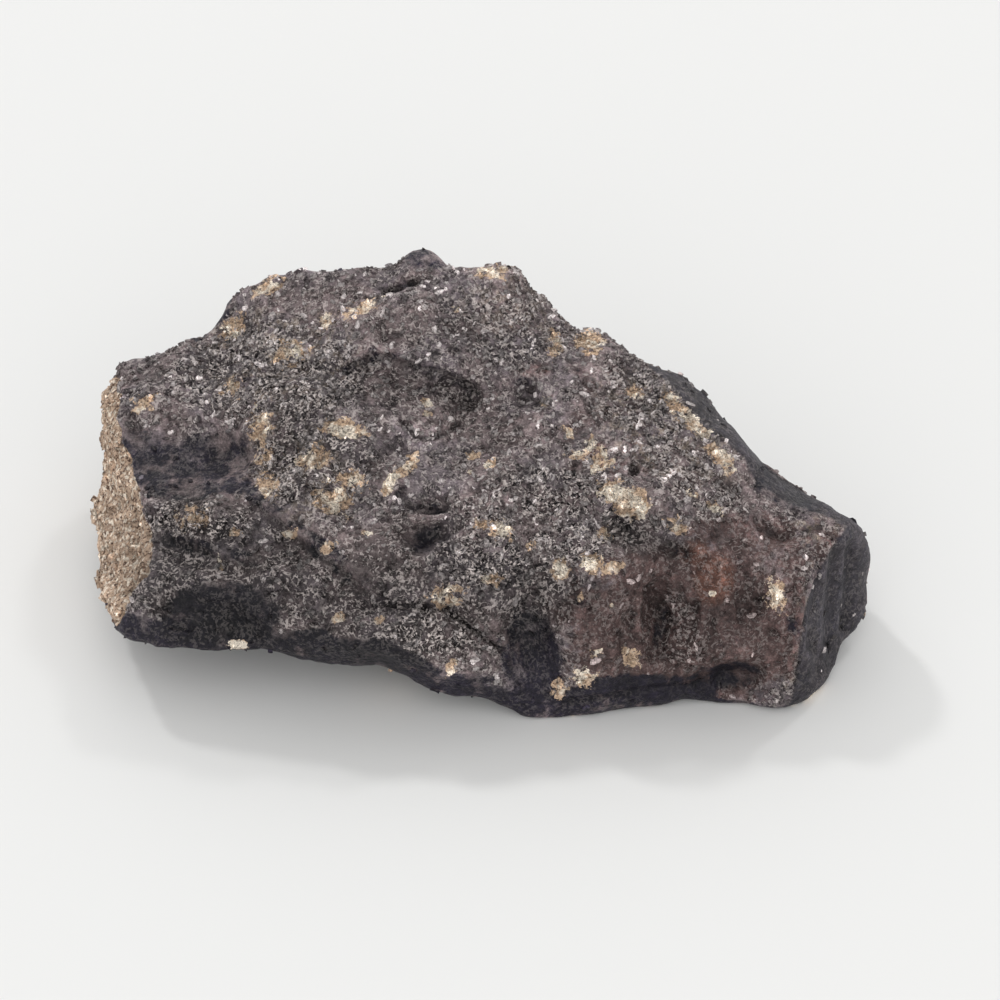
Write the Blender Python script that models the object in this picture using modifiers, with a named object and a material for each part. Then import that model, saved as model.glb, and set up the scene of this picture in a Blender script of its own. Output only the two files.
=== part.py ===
"""A stone meteorite: one fusion-crusted fragment with a fresh break at its left end.

The stone is drawn facing the viewer, as two reliefs that share one outline: the show side, and
the hidden side behind it. Each drawn point has three sizes in millimetres: how far it lies along
the stone (x), how far it rises up the show side, and how far it stands proud of the outline's
plane. The stone is then laid back to the way it rests on a table, and its foot is worn flat there.
"""

import math

import bmesh
import bpy
import numpy as np
from mathutils import Matrix, Vector, noise
from mathutils.geometry import delaunay_2d_cdt

MM = 0.001

# Driving sizes, in millimetres and degrees.
LENGTH = 52.0
LEAN = 50.0
REMESH_GRID = 0.5
EDGE_WEAR = 6
TRIANGLES = 9000
FOOT_LEVEL = 0.35

# The outline, clockwise from the top of the break: (x, rise, proud).
OUTLINE = [
    (-25.6, 22.4, -14.0), (-25.0, 23.4, -11.0), (-23.4, 23.9, -9.6), (-21.4, 24.5, -9.0),
    (-18.8, 25.2, -8.6), (-18.1, 25.8, -8.9), (-17.6, 26.6, -9.1), (-17.3, 27.8, -9.1),
    (-16.4, 28.5, -8.9), (-14.9, 29.0, -8.6), (-13.8, 29.7, -8.2), (-12.1, 30.0, -7.6),
    (-9.5, 30.1, -6.9), (-6.4, 30.5, -6.4), (-5.4, 30.3, -6.3), (-2.7, 30.3, -6.1),
    (-0.1, 30.0, -5.9), (1.1, 30.4, -6.2), (2.7, 29.7, -6.0), (3.9, 28.6, -5.6),
    (5.2, 27.8, -5.3), (6.1, 27.1, -4.9), (6.6, 26.4, -4.7), (8.7, 25.2, -4.3),
    (10.0, 24.3, -3.9), (11.6, 23.4, -3.9), (13.4, 22.4, -4.2), (15.0, 21.2, -4.6),
    (16.0, 19.7, -4.3), (16.9, 19.2, -3.8), (17.4, 18.3, -3.3), (18.3, 17.1, -2.4),
    (19.1, 16.0, -1.5), (20.3, 15.6, -1.4), (21.1, 14.9, -1.3), (22.2, 14.5, -1.0),
    (23.6, 13.3, -0.4), (24.5, 13.2, -0.2), (25.5, 12.4, -1.5), (26.1, 11.8, -3.0),
    (26.2, 11.1, -4.0), (25.8, 9.4, -4.8), (25.7, 8.1, -5.2), (25.8, 6.9, -5.0),
    (25.3, 5.9, -4.4), (24.5, 4.9, -3.5), (23.8, 4.1, -2.8), (23.5, 3.1, -2.0),
    (22.8, 2.2, -1.1), (21.5, 1.4, -0.5), (20.3, 0.9, 0.0), (18.7, 0.9, 0.0),
    (17.3, 1.1, -0.2), (15.7, 1.1, -0.1), (14.4, 1.5, -0.1), (13.2, 1.5, 0.0),
    (11.5, 1.2, 0.1), (9.3, 1.0, 0.1), (7.9, 0.8, 0.1), (6.2, 0.3, 0.2), (4.2, -0.1, 0.4),
    (2.5, 0.3, 0.6), (0.5, 1.0, 0.9), (-1.3, 1.2, 1.2), (-2.9, 1.7, 1.5), (-4.3, 2.6, 1.5),
    (-5.5, 3.4, 1.3), (-6.8, 3.7, 1.6), (-8.8, 3.7, 1.9), (-11.5, 4.0, 2.3), (-12.8, 4.2, 2.6),
    (-13.5, 4.6, 2.7), (-14.9, 4.5, 2.8), (-16.3, 4.2, 3.0), (-18.1, 4.1, 3.0), (-20.1, 4.5, 3.0),
    (-22.7, 5.1, 2.6), (-24.2, 6.1, 1.8), (-25.1, 6.9, 0.2), (-25.6, 7.8, -2.2), (-25.8, 9.2, -4.6),
    (-25.8, 10.4, -6.6), (-26.3, 11.5, -8.6), (-26.6, 12.7, -10.0), (-26.5, 14.0, -10.2),
    (-25.9, 15.1, -9.8), (-25.5, 16.0, -9.2), (-25.8, 17.2, -9.3), (-26.1, 18.7, -9.5),
    (-25.9, 20.2, -9.8), (-25.8, 21.3, -10.4),
]

# The show side's ridges. The crust's edge runs down beside the break.
CRUST_EDGE = [
    (-24.3, 23.2, -8.0), (-24.1, 21.2, -6.4), (-24.1, 18.5, -4.3), (-23.3, 16.2, -2.8),
    (-22.6, 13.9, -1.1), (-22.1, 10.9, 1.1), (-22.3, 9.4, 1.9), (-23.3, 7.9, 1.4),
]
LEFT_BROW = [
    (-22.3, 9.4, 1.9), (-18.8, 8.9, 3.4), (-14.8, 7.7, 4.4), (-10.1, 5.9, 5.0),
    (-6.1, 5.0, 4.6), (-2.8, 3.6, 4.4), (0.5, 3.6, 4.2),
]
RIGHT_BROW = [
    (3.0, 8.6, 5.0), (5.2, 9.6, 5.4), (7.9, 9.4, 5.5), (10.7, 10.4, 4.9), (12.0, 12.9, 3.4),
    (14.5, 12.7, 3.3), (18.5, 12.2, 2.7), (22.0, 12.0, 2.0),
]
BACK_STRIP = [
    (10.6, 23.6, -2.9), (12.2, 22.2, -1.8), (13.6, 20.9, -0.9), (14.5, 19.3, 0.0),
    (16.0, 18.7, 0.3), (17.5, 17.2, 0.8), (18.5, 15.6, 1.2), (20.5, 14.2, 1.4), (23.4, 13.0, 0.9),
]
END_EDGE = [
    (24.2, 12.9, 0.5), (23.6, 11.4, 1.9), (22.5, 9.9, 2.8), (21.6, 7.9, 3.0), (21.2, 5.2, 2.5),
    (20.9, 2.6, 1.3), (20.5, 1.3, 0.4),
]
SHOW_RIDGES = [CRUST_EDGE, LEFT_BROW, RIGHT_BROW, BACK_STRIP, END_EDGE]

# Single heights on the show side, between the ridges.
SHOW_POINTS = [
    (-21.0, 22.6, -6.3), (-17.0, 22.0, -4.8), (-15.8, 24.3, -5.4), (-13.6, 26.8, -5.4),
    (-9.4, 27.9, -4.6), (-4.0, 28.4, -4.6), (1.0, 28.2, -4.4), (-9.5, 23.0, -1.8),
    (-3.5, 24.6, -2.2), (3.0, 24.2, -2.4), (-19.5, 18.6, -3.0), (-15.0, 19.2, -1.6),
    (-9.5, 19.0, 0.7), (-2.2, 18.0, 0.6), (5.2, 21.6, -0.6), (8.6, 17.6, 1.6),
    (11.2, 19.8, 0.1), (14.5, 16.4, 1.9), (-18.8, 14.4, 0.2), (-12.0, 14.0, 2.5),
    (-5.2, 13.4, 3.0), (1.6, 14.6, 2.9), (6.6, 13.2, 4.2), (11.0, 15.0, 2.7),
    (-18.0, 11.0, 2.8), (-10.6, 9.8, 4.7), (-3.6, 9.2, 5.0), (0.0, 7.6, 5.4),
    (3.2, 4.6, 2.7), (4.2, 2.0, 1.4), (5.8, 4.9, 4.1), (8.4, 5.2, 4.0), (8.0, 2.6, 2.1),
    (12.0, 7.6, 3.0), (11.6, 3.6, 1.9), (15.0, 9.0, 3.9), (16.6, 6.2, 3.3), (17.4, 3.2, 1.5),
    (18.8, 9.4, 3.7), (-20.6, 6.6, 1.7), (-15.2, 6.2, 2.7), (-8.4, 4.7, 3.3), (23.4, 7.4, -1.0),
]

# The hidden side: its back above, and the ring of the foot that it rests on.
BACK_RIDGE = [
    (-24.4, 20.8, -15.4), (-20.0, 21.6, -14.8), (-14.5, 24.0, -13.8), (-7.5, 26.2, -14.4),
    (0.0, 26.0, -13.8), (7.0, 22.6, -13.4), (13.0, 18.6, -10.2), (18.5, 14.2, -9.4),
    (23.2, 12.0, -8.0),
]
FOOT_RING = [
    (-15.5, 12.6, -12.6), (-8.0, 14.4, -16.6), (-1.0, 16.0, -18.6), (6.5, 13.8, -16.0),
    (13.0, 9.8, -11.2), (18.8, 6.2, -7.2), (20.0, 2.6, -3.0),
]
HIDDEN_POINTS = [
    (-24.7, 17.6, -15.0), (-24.4, 14.2, -13.8), (-24.2, 10.6, -9.0), (-23.4, 7.8, -4.6),
    (-18.0, 7.0, -3.6), (-11.0, 5.6, -3.4), (-4.6, 4.8, -4.4), (-8.5, 9.4, -10.8),
    (0.0, 8.0, -7.6), (2.0, 2.2, -1.9), (10.0, 5.4, -4.8), (14.0, 3.2, -2.6),
    (-14.0, 19.6, -17.8), (-4.0, 21.8, -18.8), (3.4, 20.2, -17.2), (10.5, 16.2, -14.6),
    (25.2, 9.6, -8.2), (24.4, 6.2, -6.2), (22.4, 3.2, -4.2), (-19.6, 15.6, -14.6),
]

# Hollows pressed into the show side: (x, rise, radius across, radius up, depth).
SHOW_HOLLOWS = [
    (-2.5, 19.8, 6.0, 2.8, 0.6), (-5.5, 28.3, 1.2, 0.6, 0.7), (-1.6, 21.8, 1.5, 0.7, 0.5),
    (2.9, 21.7, 1.0, 0.8, 0.6), (-3.6, 12.3, 1.7, 0.8, 0.7), (-4.0, 14.1, 1.5, 0.5, 0.4),
    (9.9, 16.7, 0.6, 0.6, 0.6), (-19.2, 17.2, 3.6, 2.0, 0.5), (-14.4, 17.0, 2.4, 1.2, 0.35),
    (-16.4, 12.2, 3.4, 0.7, 0.25), (-10.0, 11.2, 2.8, 0.7, 0.25), (3.0, 6.6, 1.6, 3.2, 0.8),
    (11.7, 8.6, 0.8, 3.6, 0.75), (16.6, 2.5, 2.0, 1.0, 0.8), (21.0, 14.4, 1.8, 0.6, 0.3),
    (-16.2, 25.6, 1.6, 0.8, 0.35), (-17.6, 6.4, 3.2, 1.2, 0.35), (8.8, 12.2, 1.6, 0.7, 0.35),
    (18.0, 7.4, 1.0, 2.4, 0.4), (-21.6, 12.6, 1.6, 0.8, 0.3),
]
# Lumps and ledges that stand on it, the same way.
SHOW_LUMPS = [
    (-4.0, 13.2, 1.8, 0.35, 0.35), (-6.0, 6.3, 3.4, 1.5, 0.5), (-4.4, 26.2, 1.8, 1.4, 0.35),
    (-3.8, 18.9, 1.5, 0.9, 0.3), (7.2, 5.6, 1.8, 3.2, 0.35), (15.0, 6.6, 1.6, 3.0, 0.3),
    (-18.0, 12.9, 3.6, 0.9, 0.3), (-11.0, 20.6, 4.0, 1.6, 0.3), (9.8, 14.2, 2.0, 0.9, 0.35),
    (-13.0, 24.8, 2.6, 1.2, 0.3), (24.6, 12.6, 1.4, 0.7, 0.25), (0.4, 29.2, 1.8, 0.7, 0.3),
    (9.6, 6.2, 0.9, 2.6, 0.3), (19.8, 8.0, 1.0, 3.0, 0.25), (-13.6, 9.6, 2.0, 0.7, 0.25),
]
# Thumbprints melted into the hidden side.
HIDDEN_HOLLOWS = [
    (-14.0, 18.0, 3.8, 3.0, 1.3), (-5.0, 21.8, 3.6, 2.2, 1.4), (4.6, 19.6, 3.2, 2.6, 1.3),
    (12.5, 15.6, 3.0, 2.0, 1.1), (19.5, 10.6, 2.4, 2.2, 0.8), (-20.6, 11.6, 2.8, 2.6, 0.6),
    (-7.0, 7.0, 4.6, 2.2, 0.8), (-15.6, 8.4, 3.0, 2.0, 0.5), (-11.0, 23.4, 2.6, 1.4, 0.9),
    (1.6, 23.6, 2.2, 1.2, 0.8), (-19.4, 18.6, 2.2, 1.8, 0.8),
]

# Steps where a sheet of crust has come away: the line of the lip, and how deep it drops below it.
LIP_LINE = [(-8.8, 23.5), (-6.8, 24.4), (-5.0, 24.1), (-2.6, 23.2), (-0.6, 22.2), (0.8, 21.8)]
LIP_DROP = 0.6
LIP_REACH = 4.0
LEFT_STEP_LINE = [(-24.0, 20.0), (-21.5, 20.0), (-18.5, 19.6), (-15.0, 18.6)]
LEFT_STEP_DROP = 0.35
LEFT_STEP_REACH = 3.2

# Grooves: (two ends as x and rise, width, depth). The right end is fluted from top to bottom.
GROOVES = [
    ((-2.6, 8.4), (0.4, 5.6), 0.5, 0.55), ((-5.0, 18.4), (-3.0, 18.4), 0.45, 0.35),
    ((-23.0, 10.9), (-18.5, 10.3), 0.6, 0.2), ((-16.0, 9.9), (-11.0, 9.0), 0.5, 0.2),
    ((22.3, 9.0), (22.0, 3.4), 0.4, 0.3), ((23.6, 10.6), (23.2, 3.8), 0.4, 0.3),
    ((24.7, 11.2), (24.4, 5.2), 0.4, 0.28), ((12.6, 11.6), (12.0, 4.0), 0.5, 0.35),
    ((9.6, 8.0), (9.4, 3.0), 0.45, 0.25), ((13.8, 7.4), (13.4, 3.2), 0.45, 0.25),
    ((18.8, 9.6), (18.6, 3.6), 0.45, 0.22),
]

# The small knob on the crest.
KNOB_AT = (-4.1, 30.2, -6.6)
KNOB_SIZE = (1.45, 1.1, 1.5)

# How a mark fades: from the middle of a hollow to past its rim, across a lip, and from the side it is on.
HOLLOW_FADE = (0.25, 1.5)
LIP_FADE = (-0.15, 0.75)
LIP_HOLD = 0.4
GROOVE_FADE = 2.0
SIDE_FADE = (0.05, 0.35)

# Roughness left all over: (lump size, depth), in millimetres.
ROUGHNESS = [(8.0, 0.42), (3.4, 0.26), (1.5, 0.13)]
HIDDEN_ROUGHNESS = [(9.0, 1.0), (4.2, 0.5)]
BREAK_ROUGHNESS = [(2.6, 0.34), (1.1, 0.16)]
# How much of the general roughness the break loses.
BREAK_EASE = 0.5
# Where the break is: how far its skin faces left, and how far left it lies.
BREAK_FACING = (0.72, 0.87)
BREAK_REACH = (20.5, 22.5)
# The crust's thickness, which the wear takes off first.
CRUST_DEPTH = 0.3
# How many times the skin is smoothed: to read the way it faces, and before its triangles are thinned.
EVENING = 8
POLISH = 2
NOISE_SEED = Vector((31.7, 12.3, 5.1))

CRUST_COLOUR = (0.085, 0.072, 0.070, 1.0)
CRUST_GLOSS = 0.62


def clear_scene():
    for obj in list(bpy.data.objects):
        bpy.data.objects.remove(obj, do_unlink=True)


def crust_material():
    material = bpy.data.materials.new("fusion_crust")
    material.use_nodes = True
    shader = material.node_tree.nodes["Principled BSDF"]
    shader.inputs["Base Color"].default_value = CRUST_COLOUR
    shader.inputs["Roughness"].default_value = CRUST_GLOSS
    shader.inputs["Metallic"].default_value = 0.0
    return material


def relief_faces(mesh, points, ridges, flipped):
    """Spans the outline with triangles through one side's points and along its ridges."""
    drawn = [Vector(p) for p in OUTLINE]
    edges = [(i, (i + 1) % len(drawn)) for i in range(len(drawn))]
    for ridge in ridges:
        first = len(drawn)
        drawn += [Vector(p) for p in ridge]
        edges += [(i, i + 1) for i in range(first, len(drawn) - 1)]
    drawn += [Vector(p) for p in points]
    flat, _, faces, origins, _, _ = delaunay_2d_cdt(
        [p.xy for p in drawn], edges, [list(range(len(OUTLINE)))], 1, 1e-4
    )
    corners = []
    for spot, sources in zip(flat, origins):
        if sources:
            source = drawn[sources[0]]
        else:
            source = min(drawn, key=lambda p: (p.xy - spot).length)
        corners.append(mesh.verts.new((spot.x, spot.y, source.z)))
    for face in faces:
        order = list(face)[::-1] if flipped else list(face)
        mesh.faces.new([corners[i] for i in order])


def faceted_stone():
    """The stone as struck: flat facets between its drawn points, not yet worn."""
    mesh = bmesh.new()
    relief_faces(mesh, SHOW_POINTS, SHOW_RIDGES, flipped=False)
    relief_faces(mesh, HIDDEN_POINTS, [BACK_RIDGE, FOOT_RING], flipped=True)
    knob = bmesh.ops.create_icosphere(mesh, subdivisions=2, radius=1.0)
    placed = Matrix.Translation(KNOB_AT) @ Matrix.Diagonal((*KNOB_SIZE, 1.0))
    bmesh.ops.transform(mesh, matrix=placed, verts=knob["verts"])
    data = bpy.data.meshes.new("meteorite")
    mesh.to_mesh(data)
    mesh.free()
    return data


def evaluated_mesh(obj):
    graph = bpy.context.evaluated_depsgraph_get()
    return bpy.data.meshes.new_from_object(obj.evaluated_get(graph))


def add_wear(stone, rounds):
    wear = stone.modifiers.new("wear", "SMOOTH")
    wear.factor = 0.5
    wear.iterations = rounds


def worn_mesh(stone):
    """Fuses the facets and the knob into one skin of even grain, with its edges worn round."""
    remesh = stone.modifiers.new("one_skin", "REMESH")
    remesh.mode = "VOXEL"
    remesh.voxel_size = REMESH_GRID
    add_wear(stone, EDGE_WEAR)
    data = evaluated_mesh(stone)
    stone.modifiers.clear()
    return data


def even_normals(stone):
    """The way the skin faces at each point, read from a copy with its steps smoothed out."""
    add_wear(stone, EVENING)
    data = evaluated_mesh(stone)
    stone.modifiers.clear()
    normals = np.empty(len(data.vertices) * 3)
    data.vertices.foreach_get("normal", normals)
    return normals.reshape(-1, 3)


def smooth_step(value, low, high):
    t = np.clip((value - low) / (high - low), 0.0, 1.0)
    return t * t * (3.0 - 2.0 * t)


def ellipse_press(flat, hollow):
    x, rise, across, up, depth = hollow
    reach = np.hypot((flat[:, 0] - x) / across, (flat[:, 1] - rise) / up)
    return depth * (1.0 - smooth_step(reach, *HOLLOW_FADE))


def distance_to_segment(flat, start, end):
    start, end = np.array(start), np.array(end)
    along = end - start
    share = np.clip(((flat - start) @ along) / (along @ along), 0.0, 1.0)
    return np.hypot(*(flat - (start + share[:, None] * along)).T)


def step_press(flat, line, drop, reach):
    """How far the skin drops on the lower side of a lip's line, easing out below it."""
    line = np.array(line)
    near = np.min([distance_to_segment(flat, a, b) for a, b in zip(line, line[1:])], axis=0)
    height = np.interp(flat[:, 0], line[:, 0], line[:, 1])
    below = smooth_step(height - flat[:, 1], *LIP_FADE)
    return drop * below * (1.0 - smooth_step(near, LIP_HOLD, reach))


def relief_depth(points, normals):
    """How far each point is pressed in along its normal by the named marks."""
    flat = points[:, :2]
    show = smooth_step(normals[:, 2], *SIDE_FADE)
    hidden = smooth_step(-normals[:, 2], *SIDE_FADE)
    depth = sum(show * ellipse_press(flat, hollow) for hollow in SHOW_HOLLOWS)
    depth -= sum(show * ellipse_press(flat, lump) for lump in SHOW_LUMPS)
    depth += sum(hidden * ellipse_press(flat, hollow) for hollow in HIDDEN_HOLLOWS)
    depth += show * step_press(flat, LIP_LINE, LIP_DROP, LIP_REACH)
    depth += show * step_press(flat, LEFT_STEP_LINE, LEFT_STEP_DROP, LEFT_STEP_REACH)
    for start, end, width, cut in GROOVES:
        near = distance_to_segment(flat, start, end)
        depth += show * cut * (1.0 - smooth_step(near, 0.0, GROOVE_FADE * width))
    return depth


def roughness(points, layers):
    """Lumpy roughness: the sum of its layers' noise, each as deep as stated."""
    lumps = np.zeros(len(points))
    for size, depth in layers:
        lumps += [depth * noise.noise(Vector(p) / size + NOISE_SEED) for p in points]
    return lumps


def shape_relief(stone):
    """Presses the marks into the worn skin, and roughens the crust and the break."""
    data = stone.data
    points = np.empty(len(data.vertices) * 3)
    data.vertices.foreach_get("co", points)
    points = points.reshape(-1, 3)
    normals = even_normals(stone)
    broken = smooth_step(-normals[:, 0], *BREAK_FACING) * smooth_step(-points[:, 0], *BREAK_REACH)
    hidden = smooth_step(-normals[:, 2], *SIDE_FADE) * (1.0 - broken)
    out = (1.0 - BREAK_EASE * broken) * roughness(points, ROUGHNESS)
    out += hidden * roughness(points, HIDDEN_ROUGHNESS)
    out += broken * roughness(points, BREAK_ROUGHNESS) + CRUST_DEPTH
    out -= relief_depth(points, normals)
    points = points + normals * out[:, None]
    data.vertices.foreach_set("co", points.ravel())
    data.update()


def lay_down(data):
    """Leans the stone back the way it rests, at its real length, with its foot worn flat."""
    data.transform(Matrix.Rotation(math.radians(LEAN), 4, "X"))
    across = [v.co.x for v in data.vertices]
    data.transform(Matrix.Scale(LENGTH / (max(across) - min(across)), 4))
    mesh = bmesh.new()
    mesh.from_mesh(data)
    cut = bmesh.ops.bisect_plane(
        mesh,
        geom=mesh.verts[:] + mesh.edges[:] + mesh.faces[:],
        dist=1e-4,
        plane_co=(0.0, 0.0, FOOT_LEVEL),
        plane_no=(0.0, 0.0, 1.0),
        clear_inner=True,
    )
    rim = [piece for piece in cut["geom_cut"] if isinstance(piece, bmesh.types.BMEdge)]
    bmesh.ops.triangle_fill(mesh, use_beauty=True, edges=rim, normal=(0.0, 0.0, -1.0))
    bmesh.ops.triangulate(mesh, faces=mesh.faces[:])
    mesh.to_mesh(data)
    mesh.free()


def centre_on_foot(data):
    """Puts the origin at the middle of the stone's box, on the table, and turns to metres."""
    points = np.array([v.co for v in data.vertices])
    middle = (points.min(axis=0) + points.max(axis=0)) / 2.0
    data.transform(Matrix.Translation((-middle[0], -middle[1], -points[:, 2].min())))
    data.transform(Matrix.Scale(MM, 4))


def thinned_mesh(stone):
    """Keeps the triangles where the form turns, and spares them where it is even."""
    faces = sum(len(p.vertices) - 2 for p in stone.data.polygons)
    add_wear(stone, POLISH)
    thin = stone.modifiers.new("thin", "DECIMATE")
    thin.ratio = TRIANGLES / faces
    data = evaluated_mesh(stone)
    stone.modifiers.clear()
    return data


def main():
    clear_scene()
    stone = bpy.data.objects.new("meteorite", faceted_stone())
    bpy.context.scene.collection.objects.link(stone)
    stone.data = worn_mesh(stone)
    shape_relief(stone)
    stone.data = thinned_mesh(stone)
    lay_down(stone.data)
    centre_on_foot(stone.data)
    stone.data.materials.append(crust_material())


if __name__ == "__main__":
    main()
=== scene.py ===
"""A stony meteorite as it looks: dark fusion crust, bare stone where it has chipped away, and a fresh break.

Marks on the show side are placed as a viewer sees them: (along, rise) in millimetres on the picture's plane,
measured from near the stone's middle and from its lowest point. The hidden side follows the same finishes, by
noise in space.
"""

import logging
import math
from dataclasses import dataclass
from enum import Enum

import bmesh
import bpy
import numpy as np
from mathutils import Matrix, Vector, noise


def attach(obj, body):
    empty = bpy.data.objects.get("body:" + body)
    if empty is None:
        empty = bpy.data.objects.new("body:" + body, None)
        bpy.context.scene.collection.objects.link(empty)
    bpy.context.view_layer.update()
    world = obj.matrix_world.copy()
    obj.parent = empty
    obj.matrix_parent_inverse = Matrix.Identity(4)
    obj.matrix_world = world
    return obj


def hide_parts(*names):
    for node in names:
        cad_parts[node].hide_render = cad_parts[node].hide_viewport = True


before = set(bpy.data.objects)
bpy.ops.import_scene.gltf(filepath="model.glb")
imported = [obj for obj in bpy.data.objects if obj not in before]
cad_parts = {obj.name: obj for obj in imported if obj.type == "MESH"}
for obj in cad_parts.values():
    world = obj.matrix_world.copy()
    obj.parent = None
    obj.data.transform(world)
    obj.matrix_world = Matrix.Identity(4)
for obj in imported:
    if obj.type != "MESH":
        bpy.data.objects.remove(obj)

MM = 0.001
NODE = "meteorite"
BODY = "root"
GRAINED = "grained"
TONE = "tone"

Array = np.ndarray
Place = tuple[float, float]
Point = tuple[float, float, float]
Colour = tuple[float, float, float]
Layer = tuple[float, float]
Socket = bpy.types.NodeSocket
Value = Socket | float | tuple
Feeds = dict[str | int, Value]

log = logging.getLogger("meteorite")


class Coat(Enum):
    """The finishes that vary over the stone, and the painted shade and light among them, each by the name of
    the attribute that holds it.
    """

    BARE = "bare"
    # Black glassy crust, and painted shade along steps, creases, grooves and the bottom edge.
    BLACK = "black"
    BROWN = "brown"
    RUST = "rust"
    GRITTY = "gritty"
    DUSTY = "dusty"
    BROKEN = "broken"
    # Partly darker crust, partly painted shade on front faces and hollows that turn away from the lights.
    DIM_CRUST_AND_SHADE = "dim"
    SMOOTH = "smooth"
    # Painted shade in hollows and painted light on ridges, by how far the skin stands out.
    RELIEF_SHADE = "height"


def in_scene(name: str, data: bpy.types.ID) -> bpy.types.Object:
    """Makes an object and puts it in the scene.

    Args:
        name: The object's name.
        data: The mesh, camera or light that it shows.

    Returns:
        The object.
    """
    thing = bpy.data.objects.new(name, data)
    bpy.context.scene.collection.objects.link(thing)
    return thing


def smooth_step(value: Array, low: float, high: float) -> Array:
    """Eases from 0 at low to 1 at high.

    Args:
        value: The values to ease.
        low: Where the result leaves 0.
        high: Where the result reaches 1. It may be the smaller of the two.

    Returns:
        The eased values.
    """
    t = np.clip((value - low) / (high - low), 0.0, 1.0)
    return t * t * (3.0 - 2.0 * t)


def lumps(points: Array, size: float, seed: float, stretch: Point = (1.0, 1.0, 1.0)) -> Array:
    """Smooth noise in space, about -0.6 to 0.6.

    Args:
        points: N x 3 points, in millimetres.
        size: How far apart the lumps are, in millimetres.
        seed: Moves the noise to another part of its space.
        stretch: How many times longer the lumps are along each axis.

    Returns:
        One value for each point.
    """
    spots = points / (size * np.array(stretch)) + np.array([seed, 2.3 * seed, -1.7 * seed])
    return np.fromiter((noise.noise(spot) for spot in spots.tolist()), float, len(spots))


def beside_line(places: Array, line: tuple[Place, ...]) -> tuple[Array, Array]:
    """Finds how each place lies beside a line of straight runs.

    Args:
        places: N x 2 places on the picture.
        line: The line's points.

    Returns:
        N distances in millimetres, positive on the line's right-hand side, and how far along it they are,
        from 0 to 1.
    """
    nearest = np.full(len(places), np.inf)
    side = np.zeros(len(places))
    along = np.zeros(len(places))
    runs = np.diff(np.array(line), axis=0)
    lengths = np.hypot(*runs.T)
    passed = 0.0
    for start, run, length in zip(line, runs, lengths):
        a = np.array(start)
        share = np.clip(((places - a) @ run) / length ** 2, 0.0, 1.0)
        away = places - a - share[:, None] * run
        distance = np.hypot(*away.T)
        closer = distance < nearest
        nearest = np.where(closer, distance, nearest)
        side = np.where(closer, np.sign(run[1] * away[:, 0] - run[0] * away[:, 1]), side)
        along = np.where(closer, (passed + share * length) / lengths.sum(), along)
        passed += length
    return nearest * side, along


@dataclass(frozen=True)
class Picture:
    """The view that the stone is seen from, and the plane that its marks are placed on.

    The camera looks at the target, and the target falls on the centre among the marks. The width is what the
    camera sees across at the target's distance, and marks_across is the same width in the marks' millimetres.
    The nearest and the farthest that it sees are in metres.
    """

    elevation: float = math.radians(40.0)
    distance: float = 450.0
    target: Point = (1.43, -1.97, 8.72)
    centre: Place = (1.2, 14.53)
    width: float = 65.69
    marks_across: float = 66.67
    sensor: float = 36.0
    nearest: float = 0.01
    farthest: float = 10.0

    @property
    def toward(self) -> Array:
        """The direction from the stone to the viewer."""
        return np.array([0.0, -math.cos(self.elevation), math.sin(self.elevation)])

    @property
    def up(self) -> Array:
        """The direction that runs up the picture."""
        return np.array([0.0, math.sin(self.elevation), math.cos(self.elevation)])

    def places(self, points: Array) -> Array:
        """Finds where points of the stone fall on the picture.

        Args:
            points: N x 3 points, in millimetres.

        Returns:
            N x 2 places, (along, rise) in the marks' millimetres.
        """
        away = points - np.array(self.target)
        scale = self.distance / (self.distance - away @ self.toward) * self.marks_across / self.width
        return np.column_stack([away[:, 0] * scale + self.centre[0], away @ self.up * scale + self.centre[1]])

    def add_camera(self) -> None:
        """Makes the camera that sees the stone this way, and sets it as the scene's own."""
        camera = in_scene("camera", bpy.data.cameras.new("camera"))
        bpy.context.scene.camera = camera
        camera.data.sensor_width = self.sensor
        camera.data.lens = self.sensor * self.distance / self.width
        camera.data.clip_start = self.nearest
        camera.data.clip_end = self.farthest
        camera.location = (Vector(self.target) + Vector(self.toward) * self.distance) * MM
        camera.rotation_euler = (math.pi / 2.0 - self.elevation, 0.0, 0.0)


class Wiring:
    """A node tree in the making, with short calls for its nodes and links."""

    def __init__(self, tree: bpy.types.NodeTree) -> None:
        """Takes the tree to build in."""
        self.tree = tree

    def feed(self, socket: Socket, value: Value) -> None:
        """Feeds an input.

        Args:
            socket: The input.
            value: A socket to link it to, or the number, colour, vector or name that it holds.
        """
        if isinstance(value, Socket):
            self.tree.links.new(value, socket)
        elif isinstance(value, tuple):
            socket.default_value = (*value, 1.0)[:len(socket.default_value)]
        else:
            socket.default_value = value

    def node(self, kind: str, feeds: Feeds | None = None, **settings: str | bool) -> bpy.types.Node:
        """Adds a node.

        Args:
            kind: The node's type.
            feeds: What feeds its inputs, by their names or numbers.
            settings: Its own settings.

        Returns:
            The node.
        """
        node = self.tree.nodes.new(kind)
        for name, value in settings.items():
            setattr(node, name, value)
        for key, value in (feeds or {}).items():
            self.feed(node.inputs[key], value)
        return node

    def math(self, operation: str, *values: Value, **settings: bool) -> Socket:
        """Works on one, two or three numbers."""
        feeds = dict(enumerate(values))
        return self.node("ShaderNodeMath", feeds, operation=operation, **settings).outputs[0]

    def scaled(self, vector: Value, factor: Value) -> Socket:
        """Multiplies a vector or a colour by a number."""
        return self.node("ShaderNodeVectorMath", {0: vector, "Scale": factor}, operation="SCALE").outputs[0]


@dataclass(frozen=True)
class Mottle:
    """Noise in space that a finish varies by.

    The size is its lumps', in millimetres, detail is how many finer layers it has, rough how strong they are
    and twist how much it is distorted. The shift moves it to another part of its space.
    """

    size: float
    detail: float = 2.0
    rough: float = 0.5
    twist: float = 0.0
    shift: float = 0.0


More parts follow.
